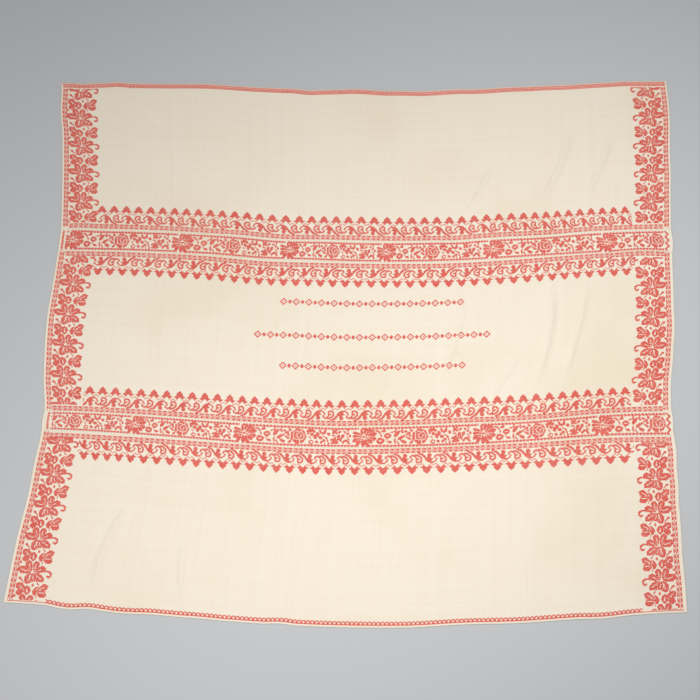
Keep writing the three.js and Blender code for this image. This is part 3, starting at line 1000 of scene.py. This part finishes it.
SPRIG_PETALS = [             # from the rose's middle, on to the next rose
    (9.0, -7.2, 20.4, -6.8, 5.8, 0.50, 0.0),
    (10.2, -5.6, 12.6, -2.6, 3.0, 0.50, 0.0),
    (14.6, -5.4, 17.0, -0.4, 3.8, 0.50, 0.0),
    (18.4, -2.6, 21.4, 3.0, 4.8, 0.55, 0.0),
    (20.4, -5.2, 25.0, -2.6, 4.0, 0.50, 0.0),
    (23.6, -0.8, 28.6, 2.6, 4.0, 0.50, 0.0),
    (12.2, 7.0, 18.2, 7.0, 5.8, 0.50, 1.2),
    (19.8, 5.8, 24.2, 8.0, 3.2, 0.50, 0.0),
    (25.6, 8.2, 29.8, 5.4, 3.2, 0.50, 0.0),
    (34.0, -5.6, 37.6, -2.4, 3.8, 0.50, 0.0),
    (32.2, 0.2, 34.8, 2.8, 2.6, 0.50, 0.0),
    (29.2, 3.2, 32.8, 5.2, 2.8, 0.50, 0.0),
    (39.8, -1.8, 44.4, -2.0, 2.8, 0.50, 0.0),
    (47.0, -5.8, 51.4, -8.4, 3.0, 0.50, 0.0),
    (53.4, -8.4, 56.8, -5.6, 3.0, 0.50, 0.0),
    (56.6, -3.6, 60.0, -5.8, 3.0, 0.50, 0.0),
    (59.8, -3.8, 62.8, -0.2, 3.0, 0.50, 0.0),
    (38.2, 7.8, 48.8, 6.8, 4.4, 0.55, 0.0),
    (38.4, 4.8, 42.2, 2.2, 3.2, 0.50, 0.0),
    (42.9, 4.6, 44.5, -0.6, 3.4, 0.55, 0.0),
    (46.8, 3.2, 48.4, -3.6, 4.4, 0.60, 0.0),
    (51.2, 2.0, 54.4, -3.6, 4.4, 0.60, 0.0),
    (49.2, 1.2, 51.4, 5.8, 4.0, 0.50, 0.0),
    (97.2, -6.2, 102.0, -9.0, 3.8, 0.50, 0.0),
    (100.0, -1.4, 107.8, -1.6, 7.4, 0.50, 1.2),
    (107.2, -5.2, 110.8, -6.8, 2.6, 0.50, 0.0),
    (104.2, 5.8, 109.2, 7.0, 3.4, 0.50, 0.0),
    (111.4, -0.4, 117.4, -8.4, 4.6, 0.42, 0.0),
    (115.2, 4.0, 122.6, -2.0, 4.0, 0.45, 0.0),
    (121.0, -1.0, 125.0, -1.8, 2.8, 0.50, 0.0),
    (119.4, -9.6, 120.8, -3.8, 3.0, 0.45, 0.0),
    (121.8, -7.4, 125.6, -6.0, 3.2, 0.50, 0.0),
    (123.8, -1.6, 129.0, -5.6, 3.2, 0.55, 0.0),
    (126.6, -2.4, 130.4, -0.2, 3.0, 0.50, 0.0),
    (124.2, 0.2, 129.8, 3.8, 3.0, 0.60, 0.0),
    (118.2, 4.6, 125.0, 8.0, 3.6, 0.55, 0.0),
    (128.4, 9.2, 131.8, 5.4, 3.2, 0.50, 0.0),
    (127.6, -8.4, 131.6, -7.4, 3.2, 0.50, 0.0),
]
SPRIG_LINES = [              # stalks, tendrils and curled leaves
    dict(points=[(12.4, 0.2), (14.6, 2.4)], thick=1.4),
    dict(points=[(21.0, -2.4), (25.0, 0.2)], thick=1.6),
    dict(points=[(25.8, -8.2), (26.2, -5.8), (28.8, -4.6), (31.2, -6.0), (32.0, -8.8)], thick=2.9),
    dict(points=[(29.4, -1.2), (31.6, 0.2), (33.4, 1.6)], thick=1.3),
    dict(points=[(31.4, 5.0), (31.8, 9.8)], thick=1.4),
    dict(points=[(34.4, 3.4), (35.6, 6.0), (36.2, 9.8)], thick=1.6),
    dict(points=[(40.8, -9.4), (45.4, -5.4)], thick=2.6),
    dict(points=[(40.8, -5.4), (45.4, -9.4)], thick=2.6),
    dict(points=[(58.6, -9.8), (59.8, -7.0)], thick=1.5),
    dict(points=[(58.0, -0.6), (59.4, 1.2), (61.0, 3.4)], thick=1.4),
    dict(points=[(42.0, 5.4), (46.5, 3.8), (51.5, 1.0)], thick=1.7),
    dict(points=[(53.6, 7.4), (54.8, 5.2), (57.0, 4.3), (59.2, 5.4), (60.4, 7.8)], thick=2.8),
    dict(points=[(89.8, -8.6), (92.8, -8.0), (95.2, -6.0), (96.6, -3.4), (97.6, -0.6)], thick=1.7),
    dict(points=[(93.4, 5.6), (94.2, 3.0), (96.6, 2.0), (99.2, 3.8), (99.0, 6.2), (96.8, 7.6),
                 (94.2, 7.2), (93.4, 5.6)], thick=2.9),
    dict(points=[(103.6, 2.0), (103.2, 4.8)], thick=1.4),
    dict(points=[(113.6, -9.8), (112.0, -7.0)], thick=1.7),
    dict(points=[(112.6, 2.0), (112.2, 5.0), (112.6, 7.6)], thick=1.9),
    dict(points=[(114.8, 6.2), (116.6, 9.6)], thick=1.7),
]

# Each band: marks of repeat number and x along it for roses and stars, the depths at which its
# two broken lines start and end, where the pattern starts and ends, and where a column of
# stitches closes it on the left and the right
ROSE_BANDS = {
    "back_band": dict(
        roses=[(0, -609), (1, -315), (2, -55), (3, 204), (4, 500), (5, 794)],
        stars=[(-1, -739), (0, -452), (1, -170), (2, 82), (3, 363), (4, 661)],
        top=5.5, foot=59.8, start=-757, end=814, closedAt=(-767, 815),
    ),
    "front_band": dict(
        roses=[(0, -704), (1, -434), (2, -140), (3, 166), (4, 461), (5, 763)],
        stars=[(0, -552), (1, -278), (2, 22), (3, 323), (4, 623)],
        top=3.4, foot=55.2, start=-765, end=783, closedAt=(-774, 784),
    ),
}


def rose(x, y):
    """A full rose: a scalloped round, its petals parted by bare lines."""
    rim = ROSE_RADIUS * (1 + SCALLOP_SHARE * np.cos(ROSE_SCALLOPS * np.arctan2(y, x)))
    sewn = np.hypot(x, y) < rim
    for vein in ROSE_VEINS:
        sewn &= ~thread_line(x, y, vein, ROSE_VEIN)
    return sewn


def band_chart():
    """One repeat of the band: a rose, its sprigs and a star."""
    x, y = np.meshgrid(
        np.arange(BAND_COLUMNS) - BAND_LEFT + 0.5, np.arange(BAND_ROWS) - (BAND_ROWS - 1) / 2,
    )
    sewn = rose(x, y)
    for shift in (0, BAND_COLUMNS):
        for middle, petals in ((0, SPRIG_PETALS), (STAR_X, STAR_PETALS)):
            for row in petals:
                sewn &= ~petal(x + shift - middle, y, row, margin=PETAL_GAP)
                sewn |= petal(x + shift - middle, y, row)
        for line in SPRIG_LINES:
            sewn |= thread_line(x + shift, y, line["points"], line["thick"])
    broken = np.tile(BAND_LINE, (1, BAND_COLUMNS // BAND_LINE.shape[1]))
    broken &= np.abs(x[0] - STAR_X) > STAR_CLEAR
    sewn[:len(BAND_LINE)] |= broken[::-1]
    sewn[-len(BAND_LINE):] |= broken
    return sewn


BAND = band_chart()


def rose_band(sheet_name, band):
    sheet = SHEETS[sheet_name]
    height = sheet["flat"][1] / MM
    star = STAR_X / BAND_COLUMNS
    marks = sorted(band["roses"] + [(number + star, x) for number, x in band["stars"]])
    left, right = side_edges(sheet, 0.5)
    row, x, wide = run_along(BAND, marks, BAND_LEFT, band["start"], band["end"])
    for closed_at, closing in zip(band["closedAt"], (LEFT_CLOSING, RIGHT_CLOSING)):
        closing_row, column = np.nonzero(closing)
        row = np.concatenate([row, closing_row])
        x = np.concatenate([x, closed_at + (column + 0.5) * STITCH])
        wide = np.concatenate([wide, np.full(len(column), STITCH)])
    high = (band["foot"] - band["top"]) / BAND_ROWS
    share = (x - left) / (right - left)
    depth = (band["top"] + (row + 0.5) * high) / height
    down = np.full(len(x), high / height)
    embroider("rose_" + sheet_name, sheet_name, share, depth, wide / (right - left), down)


for sheet_name, band in ROSE_BANDS.items():
    rose_band(sheet_name, band)

# --- Back edging ----------------------------------------------------------------------------
# A dense narrow border just inside the back hem, the whole width of the cloth. Two of its rows
# are solid, and the broken ones beside and between them read as a lattice.
LADDER = chart("""
    #.##.#.##.#.
    ############
    #...#..#...#
    ############
    .#.##.#.##.#
    ###.#####.##
""")
LADDER_MARGIN = 2.2          # plain linen between the edge and the edging
LADDER_ENDS = 4.0            # and at both its ends


def ladder_edging():
    sheet = SHEETS["back_panel"]
    height = sheet["flat"][1] / MM
    left, right = side_edges(sheet, 0.0)
    marks = [(0, left), (round((right - left) / STITCH / LADDER.shape[1]), right)]
    row, x, wide = run_along(LADDER, marks, 0, left + LADDER_ENDS, right - LADDER_ENDS)
    share = (x - left) / (right - left)
    depth = (LADDER_MARGIN + (row + 0.5) * STITCH) / height
    down = np.full(len(x), STITCH / height)
    embroider("back_edging", "back_panel", share, depth, wide / (right - left), down)


ladder_edging()

# --- Front edging ---------------------------------------------------------------------------
# A row of small arches with a knob on each, on a single line of stitches over the front hem.
# The line runs on under the side borders, the arches stop between them.
ARCH = chart("""
    .###.
    ##.##
    #...#
    ##.##
    #####
""")
ARCH_WIDTH = 10.6
ARCH_MARGIN = 4.7            # from the edge to the line of stitches
ARCH_ROW = 1.98
ARCH_LINE_ENDS = 8.0         # plain linen at both ends of that line
ARCHES_KEPT = (100, 108)     # what the side borders take of each end of the arches


def arch_edging():
    sheet = SHEETS["front_panel"]
    height = sheet["flat"][1] / MM
    left, right = side_edges(sheet, 1.0)
    marks = [(0, left), (round((right - left) / ARCH_WIDTH), right)]
    row, x, wide = run_along(ARCH, marks, 0, left + ARCH_LINE_ENDS, right - ARCH_LINE_ENDS)
    arches = (x > left + ARCHES_KEPT[0]) & (x < right - ARCHES_KEPT[1])
    sewn = arches | (row == len(ARCH) - 1)
    row, x, wide = row[sewn], x[sewn], wide[sewn]
    share = (x - left) / (right - left)
    depth = 1 - (ARCH_MARGIN + (len(ARCH) - row - 0.5) * ARCH_ROW) / height
    down = np.full(len(x), ARCH_ROW / height)
    embroider("front_edging", "front_panel", share, depth, wide / (right - left), down)


arch_edging()

# --- Centre rows ----------------------------------------------------------------------------
# Three short rows of open and filled diamonds across the middle panel, sewn in the same cotton.
# The open ones are drawn two stitches wide, and each row starts and ends with one.
DIAMONDS = chart("""
    ....##..........
    ...####.........
    ..##..##....##..
    .##....##..####.
    ##..##..##.####.
    .##....##..####.
    ..##..##....##..
    ...####.........
    ....##..........
""")
OPEN_COLUMNS = 10            # columns of the open diamond
DIAMOND_ROWS = [             # the middle of each row, from the panel's back edge, and its repeats
    dict(x=46, down=115, repeats=15),
    dict(x=46, down=206, repeats=19),
    dict(x=46, down=287, repeats=15),
]


def centre_rows():
    sheet = SHEETS["middle_panel"]
    width, height = (size / MM for size in sheet["flat"])
    shares = []
    depths = []
    for line in DIAMOND_ROWS:
        pattern = np.tile(DIAMONDS, (1, line["repeats"]))[:, :OPEN_COLUMNS - DIAMONDS.shape[1]]
        row, column = np.nonzero(pattern)
        left, right = side_edges(sheet, line["down"] / height)
        x = line["x"] + (column + 0.5 - pattern.shape[1] / 2) * STITCH
        shares.append((x - left) / (right - left))
        depths.append((line["down"] + (row + 0.5 - len(pattern) / 2) * STITCH) / height)
    share = np.concatenate(shares)
    across = np.full(len(share), STITCH / width)
    down = np.full(len(share), STITCH / height)
    embroider("centre_rows", "middle_panel", share, np.concatenate(depths), across, down)


centre_rows()

# --- Seams and hems -------------------------------------------------------------------------
# Fine linen thread: slanted whip stitches draw the butted edges together along the four seams, and short
# stitches hold the hem down round the outside. The stitches at the hem are a brown darker than the thread
# itself, so that they also paint the shadow line along the hem's inner edge.
SEAM_THREAD = (0.82, 0.74, 0.60, 1)
# brown of the stitches at the hem: partly the thread's colour, partly painted shadow along the hem's inner
# edge
HEM_THREAD_AND_SHADOW = (0.56, 0.36, 0.22, 1)
WHIP = dict(apart=3.4, long=3.4, wide=0.55, high=0.45)
WHIP_SLANT = 0.3             # how far along the seam a whip stitch leans, to how far across
RUNNING = dict(apart=3.2, long=2.3, wide=0.90, high=0.45)
HEM_STITCHES_AT = 6.6        # from the outer edge
HEM_STITCHES_END = 0.004     # short of a seam, as a share of the sheet's depth
SEAM_SHEETS = {
    "first": "back_band", "second": "middle_panel", "third": "front_band", "fourth": "front_panel",
}


def one_stitch():
    """The corners and faces of one short stitch: a low six-sided cone, a metre across."""
    bpy.ops.object.select_all(action="DESELECT")
    bpy.ops.mesh.primitive_cone_add(
        vertices=6, radius1=0.5, radius2=0, depth=0.6, end_fill_type="NOTHING",
        location=(0, 0, 0.2), rotation=(0, 0, math.pi / 6),
    )
    bpy.ops.object.transform_apply(location=True, rotation=True, scale=True)
    stitch = bpy.context.object
    corners = np.array([vertex.co for vertex in stitch.data.vertices])
    faces = np.array([face.vertices for face in stitch.data.polygons])
    bpy.data.objects.remove(stitch)
    return corners, faces


SPINDLE, SPINDLE_FACES = one_stitch()


def thread_of(name, colour):
    finish = Finish(name, roughness=0.8, sheen=0.15)
    finish.colour(colour)
    return finish.material


seam_thread = thread_of("seam thread", SEAM_THREAD)
# its brown partly paints the shadow line along the hem's inner edge
hem_thread_and_shadow = thread_of("hem thread and painted shadow", HEM_THREAD_AND_SHADOW)


def sew(name, sheet_name, middles, headings, size, material):
    """A line of short stitches on a sheet, from each one's middle and the way it points."""
    count = len(middles)
    headings = headings / np.hypot(headings[:, :1], headings[:, 1:])
    along = SPINDLE[:, 0] * size["long"]
    over = SPINDLE[:, 1] * size["wide"]
    places = np.repeat(middles[:, None], len(SPINDLE), axis=1)
    places[:, :, 0] += along * headings[:, :1] - over * headings[:, 1:]
    places[:, :, 1] += along * headings[:, 1:] + over * headings[:, :1]
    places[:, :, 2] += SPINDLE[:, 2] * size["high"]
    places = places.reshape(-1, 3) * MM
    first = np.arange(count)[:, None, None] * len(SPINDLE)
    piece = mesh_piece(name, places, (first + SPINDLE_FACES).reshape(-1, 3))
    piece.data.shade_smooth()
    lay_out(piece, places)
    piece.data.materials.append(material)
    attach(piece, "root")
    sewn_on[sheet_name].append(piece)


def seam_stitches(number, sheet_name):
    """Whip stitches along a sheet's back edge, each over the gap to the sheet behind it."""
    width = SHEETS[sheet_name]["flat"][0] / MM
    count = int(width / WHIP["apart"])
    share = (np.arange(count) + 0.5) / count
    middles = on_cloth(sheet_name, share, np.zeros(count))
    middles[:, 1] += SEAM_GAP / 2
    middles[:, 2] += CLOTH * RIM_CUT
    headings = np.tile([WHIP_SLANT, 1.0], (count, 1))
    sew("seam_" + number, sheet_name, middles, headings, WHIP, seam_thread)


def hem_stitches(sheet_name):
    """Short stitches along the inner edge of the hem, at the sides and any outer edge."""
    sheet = SHEETS[sheet_name]
    width, height = (size / MM for size in sheet["flat"])
    in_share = HEM_STITCHES_AT / width
    in_depth = HEM_STITCHES_AT / height
    top = in_depth if sheet["start"] == "backEdge" else HEM_STITCHES_END
    foot = 1 - (in_depth if sheet["end"] == "frontEdge" else HEM_STITCHES_END)
    down = np.linspace(top, foot, int(height / RUNNING["apart"]))
    across = np.linspace(in_share, 1 - in_share, int(width / RUNNING["apart"]))
    lines = [(np.full(len(down), in_share), down), (np.full(len(down), 1 - in_share), down)]
    if sheet["start"] == "backEdge":
        lines.append((across, np.full(len(across), top)))
    if sheet["end"] == "frontEdge":
        lines.append((across, np.full(len(across), foot)))
    middles = [on_cloth(sheet_name, share, depth) for share, depth in lines]
    headings = np.concatenate([np.gradient(line, axis=0)[:, :2] for line in middles])
    sew("hem_" + sheet_name, sheet_name, np.concatenate(middles), headings, RUNNING, hem_thread_and_shadow)


for number, sheet_name in SEAM_SHEETS.items():
    seam_stitches(number, sheet_name)
for sheet_name in SHEETS:
    hem_stitches(sheet_name)

# --- Floor, light and camera ----------------------------------------------------------------
# A plain pale floor under the cloth, a wide soft lamp over its middle, a fainter one away to the
# left that shows the folds, and an even sky.
FLOOR = 6.0
FLOOR_BELOW = 0.0005         # how far the floor lies under the cloth
FLOOR_GREY = (0.52, 0.53, 0.54, 1)
SKY = 0.205                  # strength of the even light from all round
TARGET = (-0.0131, -0.0333, 0.0)
DISTANCE = 3.73
TILT = math.radians(18.4)

# Lamps: where each hangs, its width and depth, and its strength; each faces the cloth's middle
LAMPS = {
    "front lamp": dict(place=(0.25, -0.35, 1.75), width=2.8, depth=0.9, energy=39),
    "left lamp": dict(place=(-3.4, 0.2, 1.5), width=1.2, depth=1.2, energy=22),
}

bpy.ops.object.select_all(action="DESELECT")
bpy.ops.mesh.primitive_plane_add(size=FLOOR, location=(0, 0, -FLOOR_BELOW))
floor = bpy.context.object
floor.name = "floor"
bpy.ops.object.transform_apply(location=True, rotation=True, scale=True)
floor_finish = Finish("floor", roughness=0.9, sheen=0.0)
floor_finish.colour(FLOOR_GREY)
floor.data.materials.append(floor_finish.material)

for name, row in LAMPS.items():
    lamp = bpy.data.lights.new(name, "AREA")
    lamp.shape = "RECTANGLE"
    lamp.size = row["width"]
    lamp.size_y = row["depth"]
    lamp.energy = row["energy"]
    lamp_place = bpy.data.objects.new(name, lamp)
    lamp_place.location = row["place"]
    lamp_place.rotation_mode = "QUATERNION"
    lamp_place.rotation_quaternion = (-lamp_place.location).to_track_quat("-Z", "Y")
    bpy.context.scene.collection.objects.link(lamp_place)

sky = bpy.data.worlds.new("sky")
sky.use_nodes = True
sky.node_tree.nodes["Background"].inputs["Color"].default_value = (1, 1, 1, 1)
sky.node_tree.nodes["Background"].inputs["Strength"].default_value = SKY
bpy.context.scene.world = sky

camera = bpy.data.objects.new("camera", bpy.data.cameras.new("camera"))
camera.data.lens = 75
camera.data.sensor_width = 36
camera.location = (
    TARGET[0],
    TARGET[1] - DISTANCE * math.sin(TILT),
    TARGET[2] + DISTANCE * math.cos(TILT),
)
camera.rotation_euler = (TILT, 0, 0)
bpy.context.scene.collection.objects.link(camera)
bpy.context.scene.camera = camera
bpy.context.scene.view_settings.view_transform = "Standard"
